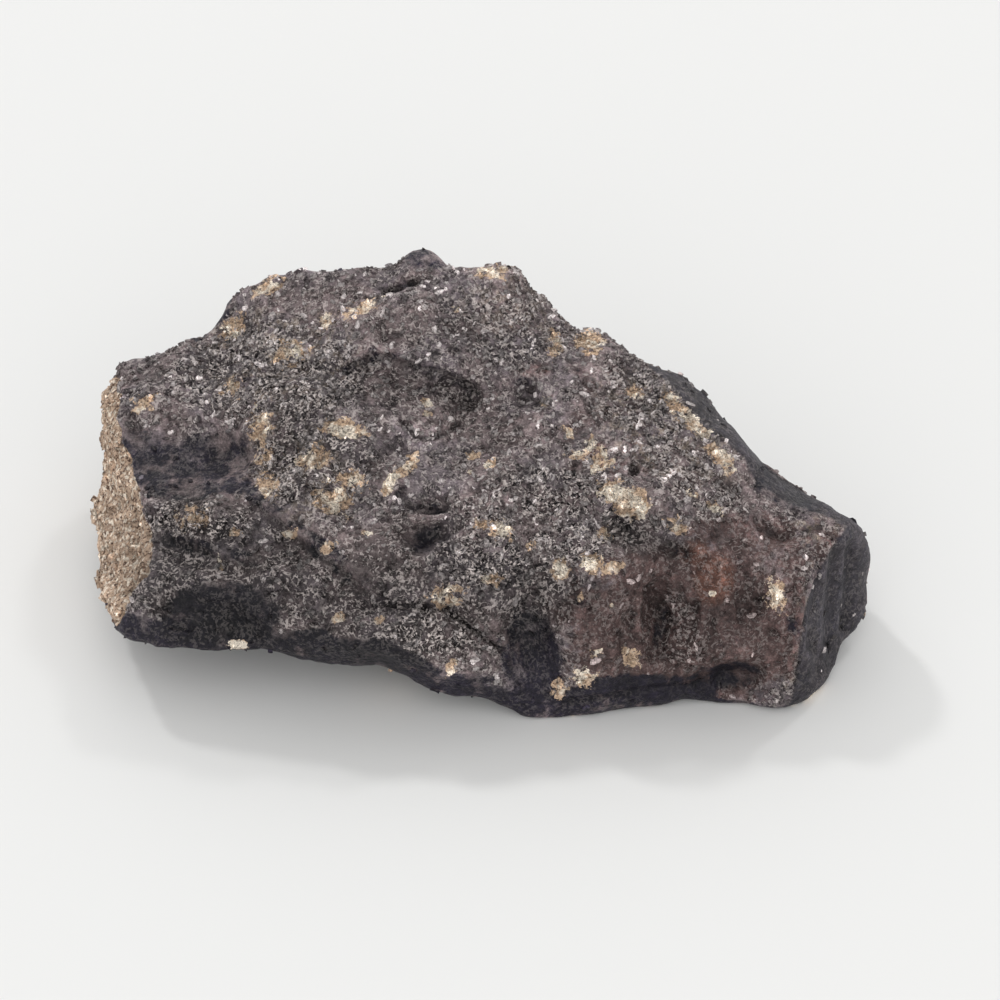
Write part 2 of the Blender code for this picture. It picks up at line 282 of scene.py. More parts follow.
class Shader(Wiring):
    """A Principled material in the making, whose coordinates count in millimetres."""

    def __init__(self, name: str) -> None:
        """Starts the material and its coordinates.

        Args:
            name: The material's name.
        """
        self.material = bpy.data.materials.new(name)
        self.material.use_nodes = True
        super().__init__(self.material.node_tree)
        self.space = self.scaled(self.node("ShaderNodeTexCoord").outputs["Object"], 1.0 / MM)

    def set(self, name: str, value: Value) -> None:
        """Sets or feeds one input of the surface."""
        self.feed(self.tree.nodes["Principled BSDF"].inputs[name], value)

    def named(self, name: str) -> Socket:
        """Reads a number that the piece's points carry."""
        return self.node("ShaderNodeAttribute", attribute_name=name).outputs["Fac"]

    def coat(self, coat: Coat) -> Socket:
        """Reads how much of a coat a place has."""
        return self.named(coat.value)

    def total(self, first: Value, *others: Value) -> Socket:
        """Adds numbers up.

        Args:
            first: The first number.
            others: Those that are added to it.

        Returns:
            The sum.
        """
        for other in others:
            first = self.math("ADD", first, other)
        return first

    def product(self, first: Value, *others: Value) -> Socket:
        """Multiplies numbers.

        Args:
            first: The first number.
            others: Those that it is multiplied by.

        Returns:
            The product.
        """
        for other in others:
            first = self.math("MULTIPLY", first, other)
        return first

    def noise(self, mottle: Mottle) -> Socket:
        """Reads a noise, 0 to 1.

        Args:
            mottle: The noise.

        Returns:
            The socket of its value.
        """
        moved = {0: self.space, 1: (mottle.shift, mottle.shift * 0.7, mottle.shift * 1.3)}
        feeds = {"Vector": self.node("ShaderNodeVectorMath", moved, operation="ADD").outputs[0],
                 "Scale": 1.0 / mottle.size, "Detail": mottle.detail, "Roughness": mottle.rough,
                 "Distortion": mottle.twist}
        return self.node("ShaderNodeTexNoise", feeds).outputs["Fac"]

    def swing(self, mottle: Mottle, width: float) -> Socket:
        """Reads a noise centred on nought, with the given width from end to end."""
        return self.math("MULTIPLY_ADD", self.noise(mottle), width, -0.5 * width)

    def spots(self, mottle: Mottle, low: float, high: float, top: float = 1.0) -> Socket:
        """Spots where a noise passes low, at their fullest from high on."""
        return self.ease(self.noise(mottle), low, high, 0.0, top)

    def ease(self, value: Socket, low: float, high: float, bottom: float = 0.0, top: float = 1.0) -> Socket:
        """Eases a value from one range into another.

        Args:
            value: The socket to read.
            low: Where the result leaves the bottom.
            high: Where the result reaches the top.
            bottom: The result at low.
            top: The result at high.

        Returns:
            The eased socket.
        """
        feeds = {"Value": value, "From Min": low, "From Max": high, "To Min": bottom, "To Max": top}
        return self.node("ShaderNodeMapRange", feeds, interpolation_type="SMOOTHSTEP").outputs["Result"]

    def threads(self, size: float, width: float, shift: float) -> tuple[Socket, Socket]:
        """Thin winding ridges, each with a furrow along one side, in short runs that lie in clusters.

        Args:
            size: The size of their windings, in millimetres.
            width: How wide they are, against the noise that they follow.
            shift: Moves them to another part of their space.

        Returns:
            Two sockets: 1 on the ridges, and 1 in the furrows.
        """
        level = self.swing(Mottle(size, 2.0, 0.55, 0.4, shift), 1.0)
        short = self.spots(Mottle(0.8 * size, 1.0, shift=shift + 3.0), 0.46, 0.56)
        clustered = self.ease(self.noise(Mottle(1.5, 3.0, 0.6, shift=shift + 7.0)), 0.42, 0.54, 0.15, 1.0)
        shown = self.product(short, clustered)
        ridge = self.ease(self.math("ABSOLUTE", level), width, 0.4 * width)
        near, far = self.ease(level, 0.9 * width, 1.5 * width), self.ease(level, 3.2 * width, 2.2 * width)
        return self.product(ridge, shown), self.product(near, far, shown)

    def mix(self, share: Socket, first: Value, second: Value) -> Socket:
        """Mixes two colours, by the share of the second."""
        return self.node("ShaderNodeMix", {0: share, 6: first, 7: second}, data_type="RGBA").outputs[2]

    def bump(self, height: Socket, depth: float, strength: float, below: Socket | None = None) -> Socket:
        """Roughens the surface with fine relief.

        Args:
            height: The relief, 0 to 1.
            depth: How deep it is at 1, in millimetres.
            strength: How much of it shows.
            below: The normal of a coarser relief that this one lies on.

        Returns:
            The normal's socket.
        """
        feeds = {"Distance": depth * MM, "Strength": strength, "Height": height}
        if below is not None:
            feeds["Normal"] = below
        return self.node("ShaderNodeBump", feeds).outputs["Normal"]


@dataclass(frozen=True)
class Sun:
    """One soft far light: where it stands, in degrees, how strong it is and how soft its shadows are."""

    azimuth: float
    elevation: float
    strength: float
    softness: float = math.radians(6.0)

    def add(self) -> None:
        """Puts the light in the scene. Azimuth 0 is behind the stone, and grows to the right."""
        light = in_scene("light", bpy.data.lights.new("light", "SUN"))
        light.data.energy = self.strength
        light.data.angle = self.softness
        a, e = math.radians(self.azimuth), math.radians(self.elevation)
        source = Vector((math.sin(a) * math.cos(e), math.cos(a) * math.cos(e), math.sin(e)))
        light.rotation_euler = source.to_track_quat("Z", "Y").to_euler()


@dataclass(frozen=True)
class Studio:
    """The pale floor, in metres, and the soft light around the stone."""

    floor_half: float = 1.5
    floor_drop: float = 0.00002
    floor_colour: Colour = (0.80, 0.80, 0.79)
    floor_roughness: float = 0.9
    floor_shine: float = 0.1
    sky_colour: Colour = (1.0, 1.0, 1.0)
    sky_all: float = 0.52
    sky_front: float = 1.15
    sky_back: float = 0.80
    suns: tuple[Sun, ...] = (Sun(33.0, 46.0, 0.28), Sun(-38.0, 45.0, 0.56))

    def add_floor(self) -> None:
        """Makes the plain pale floor."""
        mesh = bmesh.new()
        bmesh.ops.create_grid(mesh, x_segments=1, y_segments=1, size=self.floor_half)
        bmesh.ops.translate(mesh, verts=mesh.verts, vec=(0.0, 0.0, -self.floor_drop))
        data = bpy.data.meshes.new("floor")
        mesh.to_mesh(data)
        mesh.free()
        paint = Shader("floor_paint")
        paint.set("Base Color", self.floor_colour)
        paint.set("Roughness", self.floor_roughness)
        paint.set("Specular IOR Level", self.floor_shine)
        data.materials.append(paint.material)
        in_scene("floor", data)

    def add_sky(self) -> None:
        """Makes the pale surround, with more of its light from in front and behind than from the sides."""
        world = bpy.data.worlds.new("surround")
        bpy.context.scene.world = world
        world.use_nodes = True
        sky = Wiring(world.node_tree)
        toward = sky.node("ShaderNodeTexCoord").outputs["Generated"]
        depth = sky.node("ShaderNodeSeparateXYZ", {0: toward}).outputs["Y"]
        light = self.sky_all
        for side, strength in ((-1.0, self.sky_front), (1.0, self.sky_back)):
            lobe = sky.math("MULTIPLY", depth, side, use_clamp=True)
            light = sky.math("MULTIPLY_ADD", lobe, strength, light)
        background = world.node_tree.nodes["Background"].inputs
        sky.feed(background["Strength"], light)
        sky.feed(background["Color"], self.sky_colour)

    def build(self) -> None:
        """Sets the whole studio up."""
        self.add_floor()
        self.add_sky()
        for sun in self.suns:
            sun.add()
        bpy.context.scene.view_settings.view_transform = "Standard"
        log.info("studio: floor, surround and %d lights", len(self.suns))


@dataclass(frozen=True)
class CrustFinish:
    """The stone's skin: gritty grey-brown crust, its darker, dustier and barer places, and the break. The
    darker places are partly painted shade, and the threads carry painted highlights and shadows.
    """

    crust: Colour = (0.158, 0.122, 0.123)
    slate: Colour = (0.127, 0.105, 0.114)
    glint: Colour = (0.142, 0.129, 0.127)
    black: Colour = (0.0120, 0.0098, 0.0175)
    smooth: Colour = (0.026, 0.0245, 0.031)
    brown: Colour = (0.088, 0.055, 0.052)
    rust: Colour = (0.215, 0.085, 0.050)
    dust: Colour = (0.27, 0.22, 0.175)
    tan: Colour = (0.56, 0.405, 0.285)
    cream: Colour = (0.93, 0.83, 0.70)
    stone_shade: Colour = (0.12, 0.082, 0.072)
    broken: Colour = (0.50, 0.365, 0.27)
    broken_shade: Colour = (0.095, 0.056, 0.042)
    # Painted highlight on the crust's threads, partly pale flecks.
    fleck_and_highlight: Colour = (0.70, 0.62, 0.59)
    # Painted shadow in the furrow beside each thread.
    furrow_shadow: Colour = (0.010, 0.008, 0.009)
    roughness: float = 0.62
    black_roughness: float = 0.45
    stone_roughness: float = 0.85
    shine: float = 0.22
    # How far the dim coat darkens the colour: partly darker crust, partly painted shade.
    dim_and_shade_gain: float = -1.0
    grain_tone: float = 2.35
    grain_shade: float = -0.50
    evening: float = 0.40
    fine_light: Mottle = Mottle(0.13, 2.0, 0.6, 0.6)
    spotted_light: Mottle = Mottle(0.5, 3.0, 0.62, shift=5.0)
    broad_light: Mottle = Mottle(3.6, 2.0, shift=9.0)
    slates: Mottle = Mottle(3.6, 3.0, shift=12.0)
    dusting: Mottle = Mottle(0.8, 4.0, 0.68, shift=15.0)
    coat_edge: Mottle = Mottle(1.6, 5.0, 0.68, shift=3.0)
    bare_edge: Mottle = Mottle(0.75, 5.0, 0.72, 0.3, shift=6.0)
    break_edge: Mottle = Mottle(0.5, 3.0, 0.65, shift=6.0)
    wear: Mottle = Mottle(0.9, 3.0, 0.6, shift=8.0)
    bare_shades: Mottle = Mottle(0.15, 2.0, 0.6, shift=21.0)
    break_stains: Mottle = Mottle(1.8, 4.0, 0.6, shift=11.0)
    break_shades: Mottle = Mottle(0.20, 2.0, 0.6, shift=31.0)
    break_grains: Mottle = Mottle(0.34, 2.0, 0.6, shift=41.0)
    coarse_relief: Mottle = Mottle(0.40, 3.0, 0.62)
    fine_relief: Mottle = Mottle(0.15, 2.0, 0.6, 0.5)

    def lightness(self, shader: Shader, grains: bool) -> Socket:
        """How light each spot is beside its coat's own colour, with painted shade in hollows and on dim faces
        and painted light on ridges.

        Args:
            shader: The material to build in.
            grains: Whether it is for grains, which each have a tone of their own.

        Returns:
            The socket of a factor, about 0.3 to 3.
        """
        parts = [shader.swing(self.fine_light, 2.2), shader.swing(self.spotted_light, 2.5),
                 shader.swing(self.broad_light, 1.7), shader.coat(Coat.RELIEF_SHADE),
                 shader.product(shader.coat(Coat.DIM_CRUST_AND_SHADE), self.dim_and_shade_gain)]
        if grains:
            own = shader.math("POWER", shader.named(TONE), 3.0)
            parts.append(shader.math("MULTIPLY_ADD", own, self.grain_tone, self.grain_shade))
        gain = shader.ease(shader.coat(Coat.BLACK), 0.2, 0.9, 1.0, 0.9)
        return shader.math("EXPONENT", shader.product(shader.total(*parts), gain))

    def crusted(self, shader: Shader) -> Socket:
        """The crust's own colour, before its lights and darks.

        Args:
            shader: The material to build in.

        Returns:
            The colour's socket.
        """
        tone = shader.mix(shader.spots(self.slates, 0.42, 0.60), self.crust, self.slate)
        dusty = shader.ease(shader.coat(Coat.DUSTY), 0.0, 1.0, 0.06, 0.9)
        tone = shader.mix(shader.product(shader.spots(self.dusting, 0.48, 0.60), dusty), tone, self.dust)
        ragged = shader.swing(self.coat_edge, 3.4)
        browned = shader.total(shader.coat(Coat.BROWN), ragged)
        tone = shader.mix(shader.ease(browned, 0.2, 0.8), tone, self.brown)
        stained = shader.math("MULTIPLY_ADD", ragged, 0.3, shader.coat(Coat.RUST))
        tone = shader.mix(shader.ease(stained, 0.1, 0.8, 0.0, 0.5), tone, self.rust)
        blackened = shader.total(shader.coat(Coat.BLACK), ragged)
        tone = shader.mix(shader.ease(blackened, 0.25, 0.85), tone, self.black)
        return shader.mix(shader.ease(shader.coat(Coat.SMOOTH), 0.1, 0.8, 0.0, 0.9), tone, self.smooth)

    def on_grains(self, shader: Shader, tone: Socket) -> Socket:
        """The crust's colour on grains, of which the lighter ones glint unless they are brown or black.

        Args:
            shader: The material to build in.
            tone: The crust's own colour.

        Returns:
            The colour's socket.
        """
        plain = shader.ease(shader.coat(Coat.BROWN), 0.2, 0.8, 1.0, 0.6)
        glinting = shader.product(shader.ease(shader.named(TONE), 0.3, 0.8, 0.0, 0.95), plain)
        tone = shader.mix(glinting, tone, self.glint)
        return shader.mix(shader.ease(shader.coat(Coat.BLACK), 0.3, 0.8), tone, self.black)

    def bare_stone(self, shader: Shader) -> Socket:
        """The colour of stone that has lost its crust, cream in the middle of a chip and tan around it.

        Args:
            shader: The material to build in.

        Returns:
            The colour's socket.
        """
        worn = shader.total(shader.noise(self.wear), shader.product(shader.coat(Coat.BARE), 0.14))
        pale = shader.mix(shader.ease(worn, 0.49, 0.66), self.tan, self.cream)
        return shader.mix(shader.spots(self.bare_shades, 0.55, 0.63, 0.75), pale, self.stone_shade)

    def broken_stone(self, shader: Shader) -> Socket:
        """The colour of the break: tan, with broad stains, dark specks and pale grains.

        Args:
            shader: The material to build in.

        Returns:
            The colour's socket.
        """
        inner = shader.mix(shader.spots(self.break_stains, 0.50, 0.70, 0.45), self.broken, self.broken_shade)
        inner = shader.mix(shader.spots(self.break_shades, 0.54, 0.59, 0.9), inner, self.broken_shade)
        return shader.mix(shader.spots(self.break_grains, 0.52, 0.62, 0.7), inner, self.cream)

    def threaded(self, shader: Shader) -> tuple[Socket, Socket]:
        """Where the crust's thin bright threads show, painted partly as highlights, and the furrow beside
        each, painted as shadow.

        Args:
            shader: The material to build in.

        Returns:
            Two sockets: 1 on the threads, and 1 in the furrows.
        """
        darkest = shader.math("MAXIMUM", shader.coat(Coat.BLACK), shader.coat(Coat.SMOOTH))
        grit = shader.product(shader.ease(shader.coat(Coat.GRITTY), 0.0, 0.9, 0.40, 1.0),
                              shader.ease(shader.coat(Coat.BROWN), 0.2, 0.9, 1.0, 0.35))
        shown = shader.product(shader.ease(darkest, 0.1, 0.8, 1.0, 0.18), grit)
        both = zip(shader.threads(0.34, 0.085, 2.0), shader.threads(0.52, 0.065, 17.0))
        lit_ridges, shaded_furrows = (shader.product(shader.math("MAXIMUM", *pair), shown) for pair in both)
        return lit_ridges, shaded_furrows

    def material(self, name: str, grains: bool = False) -> bpy.types.Material:
        """Builds the skin's material.

        Args:
            name: The material's name.
            grains: Whether it dresses grains, which each have a tone of their own.

        Returns:
            The material.
        """
        shader = Shader(name)
        chipped = shader.total(shader.coat(Coat.BARE), shader.swing(self.bare_edge, 3.8))
        bare = shader.ease(chipped, 0.00, 0.08)
        torn = shader.total(shader.coat(Coat.BROKEN), shader.swing(self.break_edge, 0.4))
        broken = shader.ease(torn, 0.42, 0.58)
        tone = self.crusted(shader)
        if grains:
            tone = self.on_grains(shader, tone)
        lightness = self.lightness(shader, grains)
        tone = shader.scaled(tone, lightness)
        # Painted highlights on the threads, partly pale flecks, and painted shadows in the furrows beside
        # them.
        lit_ridges, shaded_furrows = self.threaded(shader)
        tone = shader.mix(lit_ridges, tone, self.fleck_and_highlight)
        tone = shader.mix(shaded_furrows, tone, self.furrow_shadow)
        # The bare and broken stone take a gentler share of the same lightness, painted shade and light
        # included.
        evened = shader.math("POWER", lightness, self.evening)
        tone = shader.mix(bare, tone, shader.scaled(self.bare_stone(shader), evened))
        tone = shader.mix(broken, tone, shader.scaled(self.broken_stone(shader), evened))
        shader.set("Base Color", tone)
        gloss = shader.ease(shader.coat(Coat.BLACK), 0.3, 0.8, self.roughness, self.black_roughness)
        open_stone = shader.product(shader.math("MAXIMUM", bare, broken), self.stone_roughness)
        shader.set("Roughness", shader.math("MAXIMUM", gloss, open_stone))
        shader.set("Specular IOR Level", self.shine)
        coarse = shader.bump(shader.noise(self.coarse_relief), 0.22, 0.9)
        fine = shader.bump(shader.noise(self.fine_relief), 0.09, 0.9, coarse)
        shader.set("Normal", shader.bump(shader.math("SUBTRACT", lit_ridges, shaded_furrows), 0.09, 1.0, fine))
        return shader.material


@dataclass(frozen=True)
class Patch:
    """An ellipse on the picture where a coat shows, with its edge left to noise. Its turn is in degrees."""

    along: float
    rise: float
    across: float
    up: float
    strength: float = 1.0
    turn: float = 0.0

    def reach(self, places: Array) -> Array:
        """Works out how far out each place is.

        Args:
            places: N x 2 places on the picture.

        Returns:
            0 at the middle and 1 at the ellipse's edge.
        """
        a = math.radians(self.turn)
        away = places - np.array([self.along, self.rise])
        right = away[:, 0] * math.cos(a) + away[:, 1] * math.sin(a)
        up = away[:, 1] * math.cos(a) - away[:, 0] * math.sin(a)
        return np.hypot(right / self.across, up / self.up)


@dataclass(frozen=True)
class Streak:
    """A line on the picture that a coat runs along."""

    line: tuple[Place, ...]
    width: float
    strength: float = 1.0

    def reach(self, places: Array) -> Array:
        """How far out each place is: 0 on the line and 1 at the streak's edge."""
        return np.abs(beside_line(places, self.line)[0]) / self.width


@dataclass(frozen=True)
class Dent(Patch):
    """A hollow pressed into the show side as deep as its strength, or a lump where that is negative."""

    crisp: float = 0.45

    def press(self, places: Array) -> Array:
        """How deep each place is pressed in, in millimetres."""
        return self.strength * smooth_step(self.reach(places), 1.0 + self.crisp, 1.0 - self.crisp)


@dataclass(frozen=True)
class Crease(Streak):
    """A crack, groove or fold along a line, as deep as its strength, or a ridge where that is negative."""

    def press(self, places: Array) -> Array:
        """How deep each place is pressed in, in millimetres."""
        return self.strength * smooth_step(self.reach(places), 1.3, 0.1)


@dataclass(frozen=True)
class Step:
    """A drop on a line's right-hand side, which eases back over its reach and fades at the line's ends."""

    line: tuple[Place, ...]
    depth: float
    reach: float

    def press(self, places: Array) -> Array:
        """Works out how deep each place is pressed in.

        Args:
            places: N x 2 places on the picture.

        Returns:
            N depths in millimetres.
        """
        beside, along = beside_line(places, self.line)
        fade = smooth_step(along, 0.0, 0.2) * smooth_step(along, 1.0, 0.8)
        return self.depth * fade * smooth_step(beside, -0.15, 0.25) * smooth_step(beside, self.reach, 0.2)


def patches(*spots: tuple[float, ...]) -> tuple[Patch, ...]:
    """Makes a patch of each (along, rise, across, up, strength, turn)."""
    return tuple(Patch(*spot) for spot in spots)


# The edge between the crust and the break, from the top down.
BREAK_EDGE = (
    (-24.9, 23.9), (-24.2, 23.0), (-24.0, 21.2), (-24.1, 18.5), (-23.5, 17.5), (-23.3, 16.2), (-22.9, 15.2),
    (-22.6, 13.9), (-22.2, 12.5), (-22.0, 10.9), (-22.2, 9.5), (-23.1, 8.5), (-23.4, 7.6), (-24.4, 6.2),
)
# The edge between the brown front and the dark fluted end, from the top down.
END_EDGE = (
    (26.4, 13.6), (24.2, 12.7), (23.4, 11.5), (22.6, 9.9), (21.6, 7.9), (21.2, 5.2), (20.9, 2.5), (20.5, 0.6),
)
# The inner edge of the dark strip along the back right.
STRIP_EDGE = (
    (10.0, 24.6), (12.2, 22.4), (13.5, 21.1), (14.5, 19.4), (15.9, 18.7), (17.5, 17.3), (18.5, 15.6),
    (20.5, 14.4), (23.5, 13.2),
)

# Chips on the show side, where the crust has come away from the bare stone.
BARE_MARKS = patches(
    (8.6, 15.0, 0.9, 0.7, 1.8, -20.0), (10.0, 14.2, 1.3, 0.95, 2.0, -12.0), (5.3, 9.9, 0.55, 0.75, 1.7),
    (7.3, 10.3, 0.75, 0.75, 1.4), (8.7, 10.0, 0.85, 0.4, 1.3, 15.0), (19.6, 8.2, 0.6, 1.15, 0.9, 12.0),
    (5.2, 1.9, 0.45, 0.75, 1.3), (6.8, 2.8, 0.75, 0.6, 0.9), (10.0, 4.0, 0.6, 0.5, 0.6),
    (15.9, 17.3, 1.2, 0.6, 1.0, -35.0), (7.1, 24.9, 0.9, 0.8, 0.9), (4.9, 24.9, 0.45, 0.9, 0.7),
    (-9.3, 19.3, 1.6, 0.6, 1.3, -14.0), (-11.3, 17.3, 1.0, 0.75, 0.9, 30.0), (-14.6, 18.9, 0.6, 1.5, 0.55),
    (-14.3, 15.6, 0.6, 0.8, 0.75), (-9.9, 14.5, 1.25, 0.9, 0.9, -20.0), (-8.6, 15.8, 0.8, 0.6, 0.8),
    (-14.2, 28.5, 1.0, 0.45, 0.9, 20.0), (-16.7, 26.2, 0.9, 0.5, 0.8, 50.0),
    (-12.8, 24.3, 1.1, 0.6, 0.75, 20.0), (-10.3, 26.4, 0.5, 0.45, 0.9), (-8.0, 27.2, 1.2, 0.45, 0.6, 20.0),
    (-16.6, 22.0, 0.55, 0.5, 0.6), (-22.4, 20.9, 0.9, 0.4, 0.9, 25.0), (1.3, 12.5, 0.75, 0.55, 0.9, -10.0),
    (0.0, 12.7, 0.5, 0.35, 0.8), (3.2, 11.5, 0.35, 0.3, 1.0), (8.2, 12.3, 0.35, 0.55, 0.8, -15.0),
    (13.0, 12.8, 0.6, 0.4, 0.8, -20.0), (5.7, 19.2, 0.4, 0.4, 0.7), (7.2, 18.2, 0.35, 0.5, 0.8),
    (6.3, 17.6, 0.5, 0.35, 0.7), (7.5, 16.9, 0.4, 0.45, 0.7), (10.2, 21.7, 0.5, 0.45, 0.7),
    (3.9, 21.2, 0.4, 0.35, 1.0), (-9.5, 6.7, 0.5, 0.35, 1.0), (-7.0, 6.5, 0.35, 0.25, 1.0),
    (-12.9, 12.4, 0.55, 0.4, 0.8), (-10.3, 11.4, 0.45, 0.45, 1.3), (-19.2, 13.3, 0.9, 0.5, 0.55, 20.0),
    (-16.3, 4.8, 0.8, 0.4, 1.6), (-17.5, 10.4, 0.16, 0.75, 1.1, 18.0), (-2.3, 8.5, 1.0, 0.4, 0.6, 15.0),
    (0.5, 9.3, 0.7, 0.35, 0.6), (-3.7, 20.9, 0.32, 0.35, 1.4), (-3.6, 20.1, 0.35, 0.2, 1.4),
    (-1.7, 27.3, 0.22, 0.22, 1.6), (-7.7, 12.3, 0.35, 0.18, 1.6, -15.0), (-16.5, 12.3, 0.55, 0.22, 1.3),
    (7.7, 4.4, 0.4, 0.22, 1.4, 25.0), (15.3, 8.3, 0.3, 0.25, 1.6), (8.7, 7.5, 0.16, 0.16, 1.6),
    (6.5, 7.9, 0.2, 0.35, 1.2), (14.0, 14.7, 0.5, 0.22, 1.3, -35.0), (15.5, 14.0, 0.6, 0.25, 1.1, -30.0),
    (0.5, 17.1, 0.35, 0.4, 1.1), (-0.8, 16.4, 0.25, 0.25, 1.3), (-0.7, 17.8, 0.4, 0.3, 0.8),
    (-2.6, 7.9, 0.9, 0.4, 0.7), (-2.0, 3.3, 0.3, 0.5, 0.9, -20.0), (0.7, 29.7, 1.1, 0.4, 0.8, -10.0),
) + (
    Streak(((12.4, 21.4), (13.9, 19.9), (14.9, 18.9)), 0.45, 0.8),
    Streak(((-4.5, 17.3), (-5.2, 16.4), (-6.1, 15.9), (-6.3, 15.1)), 0.36, 1.1),
    Streak(((7.9, 18.0), (8.5, 16.8), (7.4, 16.3)), 0.25, 0.8),
)

# The other coats that are placed on the show side; some of the black and dim marks are painted shade.
COAT_MARKS = {
    # Black glassy crust; the patches in the groove at (3.3, 4.2), the notch at (-3.8, 12.0), the hollow under
    # the bottom at (16.6, 2.8), and at (11.6, 12.0) and (11.9, 6.0) along a step and a groove are painted
    # shade.
    Coat.BLACK: patches(
        (-17.0, 7.2, 3.9, 2.0, 1.0, -6.0), (-18.0, 5.6, 4.8, 1.8, 1.0), (-3.8, 12.0, 1.7, 1.0, 0.65),
        (3.3, 4.2, 2.2, 3.2, 0.95), (20.0, 14.9, 2.4, 0.8, 0.6, -25.0), (16.6, 2.8, 2.1, 1.0, 0.75),
        (-3.9, 30.6, 1.7, 1.0, 0.6), (2.5, 22.6, 1.0, 0.5, 0.42), (-0.9, 21.9, 0.6, 0.6, 0.4),
        (11.6, 12.0, 2.6, 0.8, 0.38, -25.0), (11.9, 6.0, 0.5, 1.8, 0.5, -10.0),
        (-5.3, 28.8, 0.9, 0.4, 0.7, 25.0),
    ) + (
        Streak(((-22.6, 17.8), (-20.4, 17.0), (-16.6, 17.6)), 1.8, 0.70),
        Streak(((-22.6, 16.6), (-21.0, 15.4), (-17.0, 16.0)), 1.3, 0.65),
        # Painted shade below the two steps on the left.
        Streak(((-15.8, 15.4), (-14.2, 13.9), (-12.2, 12.3), (-10.0, 10.7), (-8.0, 8.7)), 0.75, 0.6),
        Streak(((-21.6, 12.2), (-18.8, 11.3), (-15.2, 10.5)), 0.55, 0.6),
        Streak(((-23.6, 5.9), (-19.0, 4.3), (-15.0, 4.5), (-11.0, 4.9)), 1.2, 1.0),
        # Painted shade in the crease.
        Streak(((-5.5, 14.9), (-4.6, 14.1), (-2.4, 13.9)), 0.4, 0.6),
        # Painted shade along the bottom edge, where the underside turns down and the ledge meets the floor.
        Streak(((-11.0, 4.4), (-6.2, 4.2), (-3.6, 2.5), (0.0, 1.3), (3.0, 0.9), (5.6, 0.6)), 1.1, 1.0),
        Streak(((5.2, 0.7), (8.0, 1.6), (11.0, 1.9), (14.5, 1.8)), 1.2, 1.0),
        Streak(((-24.4, 24.4), (-19.0, 25.3), (-17.4, 27.0), (-16.6, 28.9), (-13.0, 30.0)), 0.4, 0.7),
        # Painted shade under the basin's rim step.
        Streak(((-9.0, 23.3), (-7.3, 24.3), (-5.3, 23.8), (-2.8, 23.0), (-1.0, 21.9)), 0.45, 0.5),
    ),
    # Painted shade, partly darker crust: the lower front faces, the basin, the notch and the grooves that
    # turn away from the lights.
    Coat.DIM_CRUST_AND_SHADE: patches(
        (-16.5, 9.4, 7.8, 5.4, 1.15, -12.0), (-6.5, 7.4, 8.5, 4.2, 0.95), (3.4, 7.6, 3.4, 3.0, 1.0),
        (9.4, 7.0, 4.5, 3.6, 0.35), (11.4, 11.9, 3.6, 1.5, 0.9, -25.0), (-4.0, 21.9, 5.4, 2.6, 0.45),
        (-11.0, 16.6, 4.6, 3.6, 0.4), (13.6, 5.6, 8.6, 4.8, 0.4), (-4.0, 12.4, 3.0, 2.4, 0.5),
        (19.0, 4.0, 4.0, 3.5, 0.3),
    ),
    Coat.BROWN: patches(
        (13.8, 6.2, 9.2, 5.8, 1.2), (17.2, 11.0, 5.0, 3.0, 0.8), (11.0, 19.0, 8.0, 6.0, 0.25),
        (21.0, 11.8, 3.6, 1.6, 0.5),
    ),
    Coat.GRITTY: patches(
        (2.5, 26.5, 6.0, 3.2, 0.45), (4.0, 13.2, 6.0, 3.8, 1.0, 12.0), (0.5, 10.4, 4.4, 1.8, 0.9),
        (-14.5, 22.8, 6.6, 3.6, 0.9), (-11.0, 17.0, 4.5, 3.0, 0.7), (-19.0, 13.2, 3.8, 1.2, 0.9),
        (-3.4, 5.6, 3.4, 1.8, 0.7), (13.2, 5.4, 1.6, 3.0, 0.7, 12.0), (12.5, 21.0, 5.0, 4.5, 0.6, -35.0),
        (14.0, 15.5, 4.0, 2.0, 0.5, -35.0),
    ),
    Coat.RUST: patches(
        (15.5, 9.2, 1.6, 1.9, 0.6), (14.2, 11.0, 1.4, 1.0, 0.5), (3.6, 23.2, 1.2, 0.6, 0.4),
        (7.6, 17.5, 1.2, 1.2, 0.3),
    ),
    Coat.DUSTY: patches(
        (-13.5, 23.8, 6.0, 4.0, 0.7), (-12.4, 16.4, 4.0, 3.6, 0.6), (12.4, 19.4, 5.6, 3.6, 0.75, -35.0),
        (3.0, 27.6, 5.0, 2.4, 0.5), (22.4, 12.2, 2.8, 1.2, 1.0), (14.0, 9.6, 5.0, 3.0, 0.35),
    ) + (
        Streak(((21.6, 10.2), (21.0, 5.5), (20.6, 2.0)), 0.45, 1.0),
    ),
}

